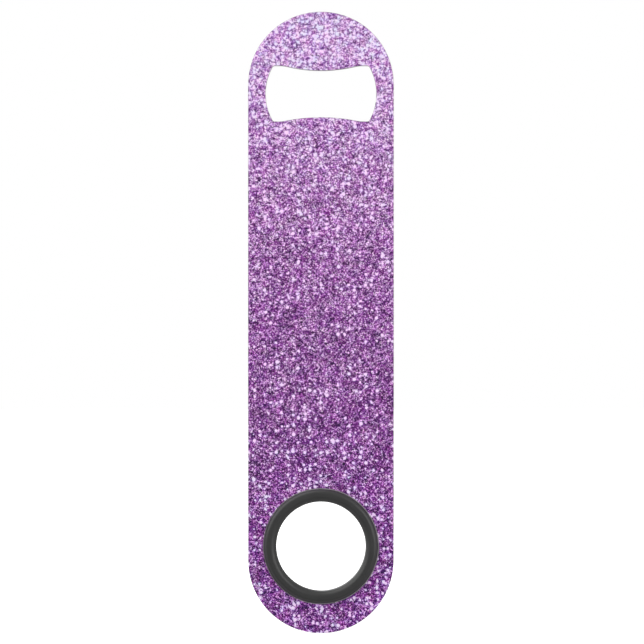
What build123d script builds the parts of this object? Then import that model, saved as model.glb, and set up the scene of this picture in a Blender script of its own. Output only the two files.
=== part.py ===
from build123d import *

# Flat bar-blade bottle opener with a spinning finger ring, in millimetres.
#
# The blade stands upright in the XZ plane: +Z runs up to the crown-cap window, X is across the
# blade and -Y points out of the printed front face. The origin is the centre of the finger ring,
# on the axis that the ring spins about and halfway through the steel.
#
# Solids: the stamped steel blade, a printed film on each face, and a two-piece ring that snaps
# together through the blade's lower hole and turns freely in it.

import os

# Blade outline: a flat strip with two full-round ends.
BLADE_LENGTH = 177.8
BLADE_WIDTH = 41.7
STEEL_THICKNESS = 2.0
EDGE_RADIUS = 0.08  # the tumbled rounding on every edge of the stamping
RING_CENTRE_ABOVE_END = 24.9

# Crown-cap window: the circle of a cap, cut off by an upper and a lower lip.
WINDOW_BELOW_TOP = 23.43
CAP_CIRCLE_RADIUS = 15.82
WINDOW_HALF_HEIGHT = 7.95
UPPER_LIP_RADIUS = 42.0
UPPER_LIP_RISE = 1.4
LOWER_LIP_RADIUS = 52.0
LOWER_LIP_RISE = 1.2
LIP_BLEND = 8.0
WINDOW_CORNER = 0.8

# Printed film: it stops where the steel's rounded edges begin, and clear of the ring's flange.
FILM_THICKNESS = 0.12
FILM_SETBACK = EDGE_RADIUS + 0.01
FILM_RING_MARGIN = 0.25

# Finger ring: a flanged hub from the front, and a retainer that snaps on to it from the rear.
BORE_RADIUS = 12.75
FLANGE_RADIUS = 16.35
FLANGE_HEIGHT = 1.5
INNER_SHOULDER = 1.6
OUTER_SHOULDER = 1.25
SEAT_GAP = 0.06  # axial play between each flange and the steel
HOLE_RADIUS = 14.5
HUB_CLEARANCE = 0.08  # radial play of the hub in the blade's hole
SPIGOT_RADIUS = 13.85
SPIGOT_INNER_ROUND = 0.7
SPIGOT_OUTER_ROUND = 0.12
RETAINER_CLEARANCE = 0.02
RETAINER_ROUND = 0.2
SNAP_DEPTH = 0.2
SNAP_HALF_WIDTH = 0.3
SNAP_ABOVE_SEAT = 0.7
GATE_RADIUS = 0.6  # moulding gate mark, a shallow dimple on the retainer's crown
GATE_DEPTH = 0.15

SAME_PLACE = 1e-3  # two places nearer than this are the same one

# Places that follow from the driving dimensions.
BLADE_BOTTOM = -RING_CENTRE_ABOVE_END
BLADE_TOP = BLADE_BOTTOM + BLADE_LENGTH
BLADE_MIDDLE = (BLADE_BOTTOM + BLADE_TOP) / 2
WINDOW_CENTRE = BLADE_TOP - WINDOW_BELOW_TOP
HALF_STEEL = STEEL_THICKNESS / 2
SEAT = HALF_STEEL + SEAT_GAP
CROWN = SEAT + FLANGE_HEIGHT
HUB_RADIUS = HOLE_RADIUS - HUB_CLEARANCE
RETAINER_RADIUS = SPIGOT_RADIUS + RETAINER_CLEARANCE
SNAP = SEAT + SNAP_ABOVE_SEAT


def blade_outline():
    """The strip with its two round ends, in the blade's plane."""
    return Pos(0, BLADE_MIDDLE) * SlotOverall(BLADE_LENGTH, BLADE_WIDTH, rotation=90)


def band_corners(window):
    """The window's corners on its two straight edges, from the middle of the blade outwards."""
    on_edge = window.vertices().filter_by(lambda v: abs(abs(v.Y) - WINDOW_HALF_HEIGHT) < SAME_PLACE)
    return on_edge.sort_by(lambda v: abs(v.X))


def window_outline():
    """The crown-cap window: a cap's circle between two lips, with rounded corners."""
    band = Rectangle(BLADE_WIDTH, 2 * WINDOW_HALF_HEIGHT)
    upper_centre = WINDOW_HALF_HEIGHT - UPPER_LIP_RISE + UPPER_LIP_RADIUS
    lower_centre = LOWER_LIP_RISE - WINDOW_HALF_HEIGHT - LOWER_LIP_RADIUS
    upper_lip = Pos(0, upper_centre) * Circle(UPPER_LIP_RADIUS)
    lower_lip = Pos(0, lower_centre) * Circle(LOWER_LIP_RADIUS)
    window = (Circle(CAP_CIRCLE_RADIUS) & band) - upper_lip - lower_lip
    window = fillet(band_corners(window)[:4], LIP_BLEND)
    window = fillet(band_corners(window)[-4:], WINDOW_CORNER)
    return Pos(0, WINDOW_CENTRE) * window


def steel_blade(window):
    """The stamped plate, with its window, the ring's hole and rounded edges."""
    profile = Plane.XZ * (blade_outline() - window - Circle(HOLE_RADIUS))
    plate = extrude(profile, HALF_STEEL, both=True)
    faces = plate.faces().sort_by(Axis.Y)
    return fillet(faces[0].edges() + faces[-1].edges(), EDGE_RADIUS)


def printed_film(window, side):
    """One face's film, -1 for the front and 1 for the rear. It covers the flat of the steel."""
    outline = offset(blade_outline(), -FILM_SETBACK)
    cut_out = offset(window, FILM_SETBACK)
    ring_hole = Circle(FLANGE_RADIUS + FILM_RING_MARGIN)
    film = extrude(Plane.XZ * (outline - cut_out - ring_hole), -side * FILM_THICKNESS)
    return Pos(0, side * HALF_STEEL, 0) * film


def turned(corners):
    """The ring that a section makes about the spin axis. A corner is (radius, depth, rounding)."""
    section = make_face(Polyline([(radius, depth) for radius, depth, _ in corners], close=True))
    for radius, depth, rounding in corners:
        if rounding:
            corner = section.vertices().sort_by_distance((radius, depth, 0))[0]
            section = fillet(corner, rounding)
    return revolve(section, Axis.Y)


def ring_hub():
    """Front flange, sleeve through the blade and the spigot that takes the retainer."""
    return turned(
        [
            (BORE_RADIUS, -CROWN, INNER_SHOULDER),
            (FLANGE_RADIUS, -CROWN, OUTER_SHOULDER),
            (FLANGE_RADIUS, -SEAT, 0),
            (HUB_RADIUS, -SEAT, 0),
            (HUB_RADIUS, SEAT, 0),
            (SPIGOT_RADIUS, SEAT, 0),
            (SPIGOT_RADIUS, SNAP - SNAP_HALF_WIDTH, 0),
            (SPIGOT_RADIUS - SNAP_DEPTH, SNAP, 0),
            (SPIGOT_RADIUS, SNAP + SNAP_HALF_WIDTH, 0),
            (SPIGOT_RADIUS, CROWN, SPIGOT_OUTER_ROUND),
            (BORE_RADIUS, CROWN, SPIGOT_INNER_ROUND),
        ]
    )


def ring_retainer():
    """The rear flange, whose bead sits in the hub's groove."""
    ring = turned(
        [
            (RETAINER_RADIUS, SEAT, 0),
            (FLANGE_RADIUS, SEAT, 0),
            (FLANGE_RADIUS, CROWN, OUTER_SHOULDER),
            (RETAINER_RADIUS, CROWN, RETAINER_ROUND),
            (RETAINER_RADIUS, SNAP + SNAP_HALF_WIDTH, 0),
            (RETAINER_RADIUS - SNAP_DEPTH, SNAP, 0),
            (RETAINER_RADIUS, SNAP - SNAP_HALF_WIDTH, 0),
        ]
    )
    crown_middle = (RETAINER_RADIUS + RETAINER_ROUND + FLANGE_RADIUS - OUTER_SHOULDER) / 2
    gate_mark = Pos(0, CROWN, -crown_middle) * extrude(Plane.XZ * Circle(GATE_RADIUS), GATE_DEPTH)
    return ring - gate_mark


os.makedirs("parts", exist_ok=True)
window = window_outline()
solids = {
    "steel_blade": steel_blade(window),
    "front_print": printed_film(window, -1),
    "rear_print": printed_film(window, 1),
    "ring_hub": ring_hub(),
    "ring_retainer": ring_retainer(),
}
for name, solid in solids.items():
    export_step(solid, f"parts/{name}.step")
    print(name, "volume", round(solid.volume, 1), "valid", solid.is_valid)
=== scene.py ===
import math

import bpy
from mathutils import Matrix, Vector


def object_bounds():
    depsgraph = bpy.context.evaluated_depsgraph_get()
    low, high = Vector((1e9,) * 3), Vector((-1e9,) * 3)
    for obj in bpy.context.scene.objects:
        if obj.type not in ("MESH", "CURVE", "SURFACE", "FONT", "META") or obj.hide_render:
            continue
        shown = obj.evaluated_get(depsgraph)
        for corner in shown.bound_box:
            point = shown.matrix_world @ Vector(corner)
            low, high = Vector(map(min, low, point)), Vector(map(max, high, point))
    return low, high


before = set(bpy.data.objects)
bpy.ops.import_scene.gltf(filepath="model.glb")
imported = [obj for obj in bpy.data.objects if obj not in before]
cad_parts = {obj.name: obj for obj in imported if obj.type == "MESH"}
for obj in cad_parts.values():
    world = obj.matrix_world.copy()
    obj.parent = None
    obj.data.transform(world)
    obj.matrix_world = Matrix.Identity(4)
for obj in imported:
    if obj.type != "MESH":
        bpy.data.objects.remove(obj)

# The looks of a flat bar-blade bottle opener: a printed glitter pattern on both faces of a
# stainless blade, and a satin black finger ring. Metres, in the frame's own axes: +Z runs up the
# blade to the crown-cap window and -Y points out of the front face.

cad_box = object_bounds()
low, high = cad_box
BLADE_LENGTH = high.z - low.z
BLADE_MIDDLE = (low.z + high.z) / 2
MM = 0.001
WHITE = (1, 1, 1, 1)

# Picture: straight on to the front face, from far enough away to look nearly flat.
CAMERA_DISTANCE = 1.2
SENSOR_IN_MM = 36.0
PICTURE_HEIGHT = 1.0368 * BLADE_LENGTH
CAMERA_RIGHT = 0.3 * MM
CAMERA_ABOVE_MIDDLE = 0.14 * MM

# Studio: a pale floor a little below the blade, and soft boxes on the left, right and behind.
FLOOR_DROP = 20 * MM
FLOOR_SIZE = 8.0
FLOOR_COLOUR = (0.86, 0.86, 0.86, 1)
FLOOR_ROUGHNESS = 0.9
# The floor's glow at two distances from its middle.
FLOOR_NEAR = 0.2
FLOOR_FAR = 0.7
FLOOR_GLOW_NEAR = 0.25
FLOOR_GLOW_FAR = 0.85
# The brightness of the backdrop in the picture, and of the room that the object is lit by: in
# front and behind, and at the sides. The room changes where a direction's Y is in SIDE_TO_FRONT.
BACKDROP = 1.0
SURROUNDINGS = 0.32
SIDE_SURROUNDINGS = 0.85
SIDE_TO_FRONT = (0.2, 0.8)
BOX_DISTANCE = 0.9
# Name, (degrees clockwise from straight up, degrees off the view), width, height, brightness.
SOFT_BOXES = [
    ("key_box", (-44, 65), 1.0, 1.3, 1.8),
    ("fill_box", (76, 35), 0.5, 0.5, 3.4),
    ("rear_box", (-60, 140), 1.3, 1.3, 1.32),
]

# Glitter print, in millimetres. Tones run from 0, black, to 1, white, as the eye sees them. A list
# gives (height on the blade from 0 to 1, value there).
BASE_TONE = [(0.0, 0.296), (0.3, 0.355), (0.45, 0.37), (0.72, 0.525), (0.88, 0.615), (1.0, 0.68)]
CONTRAST = [(0.0, 0.56), (0.3, 0.53), (0.5, 0.55), (0.8, 0.53), (1.0, 0.4)]
DARKEST = 0.02
# How light a pure white print looks in this light. Nothing on the print is lighter.
BRIGHTEST = 1.028
DISPLAY_GAMMA = 2.2
# The size of each layer's flakes, and how far their tones stray either way.
FLAKES = [(0.24, 0.88), (0.65, 0.46)]
# The flakes with dark gaps round them: their size, how far a gap reaches in as a share of it, and
# the tones that a gap's middle and a flake add.
GAP_FLAKE = 0.65
GAP_WIDTH = 0.1
GAP_TONES = (-0.3, 0.05)
# Wide patches: their size and how far their tones stray. Between two values of their noise, sparks
# go from sparse to crowded.
PATCH = 5.0
PATCH_STRAY = 0.12
CROWDING_NOISE = (0.35, 0.65)
CROWDING = (0.3, 1.7)

# Sparks in four kinds. Each has the spacing of the places where one may be, its least and greatest
# radius, and its strength: how far it takes the tone to SPARK_TONE, or how much darker a speck is.
SPARKS = (1.6, (0.2, 0.55), 1.0)
GLINTS = (0.85, (0.1, 0.27), 0.72)
DISCS = (1.15, (0.25, 0.49), 0.96)
SPECKS = (0.85, (0.1, 0.26), 0.42)
# The share of the places that hold a spark or glint, and a disc or speck, by height.
SPARK_SHARE = [(0.0, 0.4), (0.3, 0.26), (0.42, 0.17), (0.7, 0.2), (0.85, 0.25), (1.0, 0.34)]
DISC_SHARE = [(0.0, 0.16), (0.15, 0.1), (0.3, 0.0), (0.7, 0.0), (0.85, 0.32), (1.0, 0.6)]
SPARK_TONE = 0.95
SPARK_SOFTNESS = 0.08
# A halo's width round its spark, and how much lighter it is.
HALO = 0.5
HALO_GLOW = 0.1
# Sparks shift sideways by this for each millimetre of depth, so the rear differs from the front.
REAR_SHIFT = 37.0

# How far red, green and blue stand from a dark tone: low down, between two heights and high up.
BOTTOM_TINT = (0.183, -0.164, 0.272)
MIDDLE_TINT = (0.166, -0.142, 0.229)
TOP_TINT = (0.144, -0.113, 0.238)
MIDDLE_HEIGHTS = (0.35, 0.65)
# How the tint fades as the tone gets lighter.
TINT_BY_TONE = [(0.1, 1.0), (0.35, 0.88), (0.65, 0.79), (0.85, 0.63), (1.0, 0.43)]
# Patches of weaker and stronger tint, between two values of their noise.
TINT_PATCH = 2.0
TINT_NOISE = (0.25, 0.75)
TINT_RANGE = (0.8, 1.2)
# A step towards pink. Patches stray so many steps to pink or to blue, and halos go to blue.
PINK = (0.16, -0.1, -0.04)
PINK_STRAY = [(0.0, 0.55), (0.3, 0.2), (0.75, 0.25), (1.0, 0.6)]
HALO_BLUENESS = [(0.0, 0.28), (0.25, 0.28), (0.4, 0.1), (0.75, 0.12), (1.0, 0.24)]
# The least red, green or blue of any place.
LEAST_COLOUR = 0.02
# The clear laminate: its gloss over dark and light flakes, and the faint peel of its surface.
LAMINATE_IOR = 1.41
LAMINATE_ROUGHNESS = (0.32, 0.2)
PEEL = 1.6
PEEL_STRENGTH = 0.25
PEEL_DEPTH = 0.02

# Steel: the size of each kind of mark in millimetres, and how far it sways the grey either way.
# Scratches are drawn out along the blade, and blue is a little weaker than red and green.
STEEL_GREY = 0.425
STEEL_BLUE_SHARE = 0.98
STEEL_GRAIN = 0.15
SCRATCH = 0.25
SCRATCH_STRETCH = (1.0, 1.0, 0.12)
SCRATCH_STRAY = 0.15
DULL_MARK = 1.4
DULL_MARK_STRAY = 0.13
DULL_MARK_RELIEF = 2.0
STAIN = 9.0
STAIN_STRAY = 0.075
STEEL_ROUGHNESS = 0.4
STEEL_ROUGHNESS_STRAY = 0.16
STEEL_RELIEF_STRENGTH = 0.6
STEEL_RELIEF = 0.02

# Ring, in the same terms.
RING_GREY = 0.0292
RING_IOR = 1.48
TOOL_GRAIN = 0.15
TOOL_GRAIN_STRAY = 0.004
TOOL_GRAIN_STRENGTH = 0.2
TOOL_GRAIN_DEPTH = 0.01
POLISH = 5.0
POLISH_STRAY = 0.006
RING_ROUGHNESS = 0.4
RING_ROUGHNESS_STRAY = 0.06

# How many finer and finer layers a noise has: usually, for crisp marks and for the tint's patches.
USUAL_DETAIL = 2.0
CRISP_DETAIL = 3.0
TINT_DETAIL = 1.0

# Which sockets of a Mix node carry each kind of value: first, second, result.
MIX_SOCKETS = {"FLOAT": (2, 3, 0), "VECTOR": (4, 5, 1)}


class Tree:
    """The node tree of one material or of the world, with short ways to add to it."""

    def __init__(self, owner):
        owner.use_nodes = True
        self.nodes = owner.node_tree.nodes
        self.links = owner.node_tree.links
        self.nodes.clear()

    def add(self, kind, inputs=None, **settings):
        """A new node. Each input is a plain value or another node's output."""
        node = self.nodes.new(kind)
        for name, value in settings.items():
            setattr(node, name, value)
        for name, value in (inputs or {}).items():
            if isinstance(value, bpy.types.NodeSocket):
                self.links.new(value, node.inputs[name])
            else:
                node.inputs[name].default_value = value
        return node

    def math(self, operation, *values):
        """The result of arithmetic on numbers or outputs."""
        return self.add("ShaderNodeMath", dict(enumerate(values)), operation=operation).outputs[0]

    def vector(self, operation, *values):
        """The result of vector arithmetic. SCALE takes its number as the second value."""
        inputs = dict(enumerate(values))
        if operation == "SCALE":
            inputs = {0: values[0], "Scale": values[1]}
        return self.add("ShaderNodeVectorMath", inputs, operation=operation).outputs[0]

    def total(self, *values):
        """The sum of several numbers or outputs."""
        result = values[0]
        for value in values[1:]:
            result = self.math("ADD", result, value)
        return result

    def remap(self, value, from_low, from_high, to_low, to_high, smooth=False):
        """Value taken from one range to another, and held at the ends."""
        node = self.add(
            "ShaderNodeMapRange",
            {0: value, 1: from_low, 2: from_high, 3: to_low, 4: to_high},
            interpolation_type="SMOOTHSTEP" if smooth else "LINEAR",
        )
        return node.outputs[0]

    def ramp(self, value, stops):
        """A grey that follows value through (place, grey) stops, smoothly."""
        node = self.add("ShaderNodeValToRGB", {0: value})
        ramp = node.color_ramp
        ramp.interpolation = "B_SPLINE"
        for place, _ in stops[1:-1]:
            ramp.elements.new(place)
        for element, (place, grey) in zip(ramp.elements, stops):
            element.position = place
            element.color = (grey, grey, grey, 1)
        return node.outputs[0]

    def mix(self, share, first, second, kind="FLOAT"):
        """First where share is 0, and second where it is 1. The kind is FLOAT or VECTOR."""
        first_input, second_input, output = MIX_SOCKETS[kind]
        inputs = {0: share, first_input: first, second_input: second}
        return self.add("ShaderNodeMix", inputs, data_type=kind).outputs[output]

    def join(self, x, y, z):
        """A vector or colour of three numbers or outputs."""
        return self.add("ShaderNodeCombineXYZ", {0: x, 1: y, 2: z}).outputs[0]

    def split(self, colour):
        """The three channels of a colour or vector."""
        return self.add("ShaderNodeSeparateColor", {0: colour}).outputs

    def places(self):
        """Where a point lies on its own piece, in millimetres."""
        here = self.add("ShaderNodeTexCoord").outputs["Object"]
        return self.vector("SCALE", here, 1 / MM)

    def cells(self, where, size, feature="F1", dimensions="3D"):
        """Random cells of about the given size in millimetres."""
        return self.add(
            "ShaderNodeTexVoronoi",
            {"Vector": where, "Scale": 1 / size},
            feature=feature,
            voronoi_dimensions=dimensions,
        )

    def noise_node(self, where, size, detail):
        """A node of smooth noise from 0 to 1, with features of about the given size."""
        inputs = {"Vector": where, "Scale": 1 / size, "Detail": detail}
        return self.add("ShaderNodeTexNoise", inputs)

    def noise(self, where, size, detail=USUAL_DETAIL):
        """Smooth grey noise from 0 to 1, with features of about the given size."""
        return self.noise_node(where, size, detail).outputs[0]

    def bump(self, height, strength, depth):
        """The normal of a surface with relief. A height of 1 stands depth millimetres out."""
        inputs = {"Height": height, "Strength": strength, "Distance": depth * MM}
        return self.add("ShaderNodeBump", inputs).outputs[0]

    def finish(self, shader):
        """Makes shader the material's surface."""
        self.add("ShaderNodeOutputMaterial", {"Surface": shader.outputs[0]})


def swing(tree, value, amount):
    """Value from 0 to 1 turned into -amount to +amount."""
    return tree.remap(value, 0, 1, -amount, amount)


def flakes(tree, where):
    """Light and dark flakes. Every layer has cells of one size, each with a random tone."""
    tones = []
    for size, stray in FLAKES:
        chance = tree.split(tree.cells(where, size).outputs["Color"])[0]
        tones.append(swing(tree, chance, stray))
    return tree.total(*tones)


def sparks(tree, flat, share, kind):
    """Round spots of one kind in a share of their places: the strength of spots and of halos."""
    spacing, radii, strength = kind
    cell = tree.cells(flat, spacing, dimensions="2D")
    random = tree.split(cell.outputs["Color"])
    reach = tree.math("MULTIPLY", cell.outputs["Distance"], spacing)
    beyond = tree.math("SUBTRACT", reach, tree.remap(random[1], 0, 1, *radii))
    lit = tree.math("MULTIPLY", tree.math("LESS_THAN", random[0], share), strength)
    inside = tree.remap(beyond, -SPARK_SOFTNESS, SPARK_SOFTNESS, 1, 0, smooth=True)
    halo = tree.remap(beyond, 0, HALO, 1, 0, smooth=True)
    return tree.math("MULTIPLY", inside, lit), tree.math("MULTIPLY", halo, lit)


def spark_cover(tree, where, height):
    """All the light spots together, the halos of the large ones, and the dark specks."""
    x, y, z = tree.split(where)[:3]
    flat = tree.join(tree.math("MULTIPLY_ADD", y, REAR_SHIFT, x), z, 0)
    crowding = tree.remap(tree.noise(where, PATCH), *CROWDING_NOISE, *CROWDING)
    spark_share = tree.math("MULTIPLY", tree.ramp(height, SPARK_SHARE), crowding)
    disc_share = tree.ramp(height, DISC_SHARE)
    spark, spark_halo = sparks(tree, flat, spark_share, SPARKS)
    glint, _ = sparks(tree, flat, spark_share, GLINTS)
    disc, disc_halo = sparks(tree, flat, disc_share, DISCS)
    speck, _ = sparks(tree, flat, disc_share, SPECKS)
    light = tree.math("MAXIMUM", tree.math("MAXIMUM", spark, glint), disc)
    return light, tree.math("MAXIMUM", spark_halo, disc_halo), speck


def glitter_tone(tree, where, height, spark, halo, speck):
    """The print's light and dark: flakes, the gaps between them, dark specks and white sparks."""
    edge = tree.cells(where, GAP_FLAKE, "DISTANCE_TO_EDGE").outputs[0]
    gaps = tree.remap(edge, 0, GAP_WIDTH, *GAP_TONES)
    patches = swing(tree, tree.noise(where, PATCH), PATCH_STRAY)
    texture = tree.total(flakes(tree, where), gaps, patches)
    contrast = tree.ramp(height, CONTRAST)
    tone = tree.math("MULTIPLY_ADD", texture, contrast, tree.ramp(height, BASE_TONE))
    tone = tree.math("MULTIPLY_ADD", halo, HALO_GLOW, tone)
    tone = tree.math("SUBTRACT", tone, speck)
    tone = tree.mix(spark, tone, SPARK_TONE)
    return tree.math("MINIMUM", tree.math("MAXIMUM", tone, DARKEST), 1.0)


def glitter_tint(tree, where, height, tone, halo):
    """How far the purple stands from grey, patch by patch. It is bluer beside the sparks."""
    middle_from, middle_to = MIDDLE_HEIGHTS
    tint = tree.mix(tree.remap(height, 0, middle_from, 0, 1), BOTTOM_TINT, MIDDLE_TINT, "VECTOR")
    tint = tree.mix(tree.remap(height, middle_to, 1, 0, 1), tint, TOP_TINT, "VECTOR")
    patch = tree.noise_node(where, TINT_PATCH, TINT_DETAIL).outputs
    patchy = tree.remap(patch[0], *TINT_NOISE, *TINT_RANGE)
    strength = tree.math("MULTIPLY", tree.ramp(tone, TINT_BY_TONE), patchy)
    sway = swing(tree, tree.split(patch[1])[1], 1)
    stray = tree.math("MULTIPLY", sway, tree.ramp(height, PINK_STRAY))
    blueness = tree.math("MULTIPLY", halo, tree.ramp(height, HALO_BLUENESS))
    hue = tree.vector("SCALE", PINK, tree.math("SUBTRACT", stray, blueness))
    return tree.vector("ADD", tree.vector("SCALE", tint, strength), hue)


def glitter_print():
    """Printed glitter under a clear laminate: purple flakes with dark gaps and white sparks."""
    material = bpy.data.materials.new("glitter_print_look")
    tree = Tree(material)
    where = tree.places()
    height = tree.remap(tree.split(where)[2], low.z / MM, high.z / MM, 0, 1)
    spark, halo, speck = spark_cover(tree, where, height)
    tone = glitter_tone(tree, where, height, spark, halo, speck)
    tint = glitter_tint(tree, where, height, tone, halo)
    seen = tree.vector("ADD", tree.join(tone, tone, tone), tint)
    seen = tree.vector("MAXIMUM", seen, (LEAST_COLOUR,) * 3)
    seen = tree.vector("MINIMUM", seen, (BRIGHTEST,) * 3)
    share_of_white = tree.vector("SCALE", seen, 1 / BRIGHTEST)
    colour = tree.add("ShaderNodeGamma", {"Color": share_of_white, "Gamma": DISPLAY_GAMMA})
    shader = tree.add(
        "ShaderNodeBsdfPrincipled",
        {
            "Base Color": colour.outputs[0],
            "Roughness": tree.remap(tone, 0, 1, *LAMINATE_ROUGHNESS),
            "Normal": tree.bump(tree.noise(where, PEEL), PEEL_STRENGTH, PEEL_DEPTH),
            "IOR": LAMINATE_IOR,
        },
    )
    tree.finish(shader)
    return material


def steel():
    """Tumbled stainless steel: matt grain, scratches along the cut edge and small dull marks."""
    material = bpy.data.materials.new("steel_look")
    tree = Tree(material)
    where = tree.places()
    grain = tree.noise(where, STEEL_GRAIN, CRISP_DETAIL)
    scratches = tree.noise(tree.vector("MULTIPLY", where, SCRATCH_STRETCH), SCRATCH, CRISP_DETAIL)
    marks = tree.noise(where, DULL_MARK, CRISP_DETAIL)
    stains = tree.noise(where, STAIN)
    grey = tree.total(
        STEEL_GREY,
        swing(tree, scratches, SCRATCH_STRAY),
        swing(tree, marks, DULL_MARK_STRAY),
        swing(tree, stains, STAIN_STRAY),
    )
    relief = tree.total(grain, scratches, tree.math("MULTIPLY", marks, DULL_MARK_RELIEF))
    shader = tree.add(
        "ShaderNodeBsdfPrincipled",
        {
            "Base Color": tree.join(grey, grey, tree.math("MULTIPLY", grey, STEEL_BLUE_SHARE)),
            "Metallic": 1.0,
            "Roughness": tree.total(STEEL_ROUGHNESS, swing(tree, marks, STEEL_ROUGHNESS_STRAY)),
            "Normal": tree.bump(relief, STEEL_RELIEF_STRENGTH, STEEL_RELIEF),
        },
    )
    tree.finish(shader)
    return material


def ring_black():
    """Satin black moulded nylon, with a fine tool texture and a little handling polish."""
    material = bpy.data.materials.new("ring_black_look")
    tree = Tree(material)
    where = tree.places()
    tool_grain = tree.noise(where, TOOL_GRAIN, CRISP_DETAIL)
    polish = tree.noise(where, POLISH, CRISP_DETAIL)
    grey = tree.total(
        RING_GREY,
        swing(tree, polish, POLISH_STRAY),
        swing(tree, tool_grain, TOOL_GRAIN_STRAY),
    )
    shader = tree.add(
        "ShaderNodeBsdfPrincipled",
        {
            "Base Color": tree.join(grey, grey, grey),
            "Roughness": tree.total(RING_ROUGHNESS, swing(tree, polish, RING_ROUGHNESS_STRAY)),
            "Normal": tree.bump(tool_grain, TOOL_GRAIN_STRENGTH, TOOL_GRAIN_DEPTH),
            "IOR": RING_IOR,
        },
    )
    tree.finish(shader)
    return material


def dress(looks):
    """Gives every CAD node the look of the record's slot that its faces use."""
    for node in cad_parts.values():
        for slot in node.material_slots:
            slot.material = looks[slot.material.name]


def make_floor():
    """A plain pale floor that glows like a light table. It doesn't light or show in the object."""
    bpy.ops.mesh.primitive_plane_add(size=FLOOR_SIZE, location=(0, 0, low.z - FLOOR_DROP))
    floor = bpy.context.object
    floor.name = "floor"
    floor.visible_glossy = False
    floor.visible_diffuse = False
    material = bpy.data.materials.new("floor_white")
    tree = Tree(material)
    here = tree.add("ShaderNodeTexCoord").outputs["Object"]
    away = tree.add("ShaderNodeVectorMath", {0: here}, operation="LENGTH").outputs["Value"]
    glow = tree.remap(away, FLOOR_NEAR, FLOOR_FAR, FLOOR_GLOW_NEAR, FLOOR_GLOW_FAR, smooth=True)
    shader = tree.add(
        "ShaderNodeBsdfPrincipled",
        {
            "Base Color": FLOOR_COLOUR,
            "Roughness": FLOOR_ROUGHNESS,
            "Emission Color": WHITE,
            "Emission Strength": glow,
        },
    )
    tree.finish(shader)
    floor.data.materials.append(material)


def make_surroundings():
    """A white backdrop that the object sees as a dimmer room."""
    world = bpy.data.worlds.new("surroundings")
    bpy.context.scene.world = world
    tree = Tree(world)
    direction = tree.add("ShaderNodeTexCoord").outputs["Generated"]
    frontness = tree.math("ABSOLUTE", tree.split(direction)[1])
    room = tree.remap(frontness, *SIDE_TO_FRONT, SIDE_SURROUNDINGS, SURROUNDINGS, smooth=True)
    is_camera = tree.add("ShaderNodeLightPath").outputs["Is Camera Ray"]
    strength = tree.mix(is_camera, room, BACKDROP)
    background = tree.add("ShaderNodeBackground", {"Color": WHITE, "Strength": strength})
    tree.add("ShaderNodeOutputWorld", {"Surface": background.outputs[0]})


def make_soft_box(name, direction, width, height, brightness):
    """A rectangular area light that faces the middle of the blade."""
    turn, off_view = (math.radians(angle) for angle in direction)
    side = math.sin(off_view)
    towards = Vector((side * math.sin(turn), -math.cos(off_view), side * math.cos(turn)))
    lamp = bpy.data.lights.new(name, "AREA")
    lamp.shape = "RECTANGLE"
    lamp.size = width
    lamp.size_y = height
    lamp.energy = brightness * math.pi * width * height
    box = bpy.data.objects.new(name, lamp)
    bpy.context.scene.collection.objects.link(box)
    box.location = Vector((0, 0, BLADE_MIDDLE)) + towards * BOX_DISTANCE
    box.rotation_euler = towards.to_track_quat("Z", "Y").to_euler()


def make_camera():
    """A long lens, square on to the front face."""
    data = bpy.data.cameras.new("camera")
    data.sensor_width = SENSOR_IN_MM
    data.lens = data.sensor_width * CAMERA_DISTANCE / PICTURE_HEIGHT
    camera = bpy.data.objects.new("camera", data)
    bpy.context.scene.collection.objects.link(camera)
    camera.location = (CAMERA_RIGHT, -CAMERA_DISTANCE, BLADE_MIDDLE + CAMERA_ABOVE_MIDDLE)
    camera.rotation_euler = (math.pi / 2, 0, 0)
    bpy.context.scene.camera = camera


dress({"glitter_print": glitter_print(), "steel": steel(), "ring_black": ring_black()})
make_floor()
make_surroundings()
for soft_box in SOFT_BOXES:
    make_soft_box(*soft_box)
make_camera()
bpy.context.scene.view_settings.view_transform = "Standard"
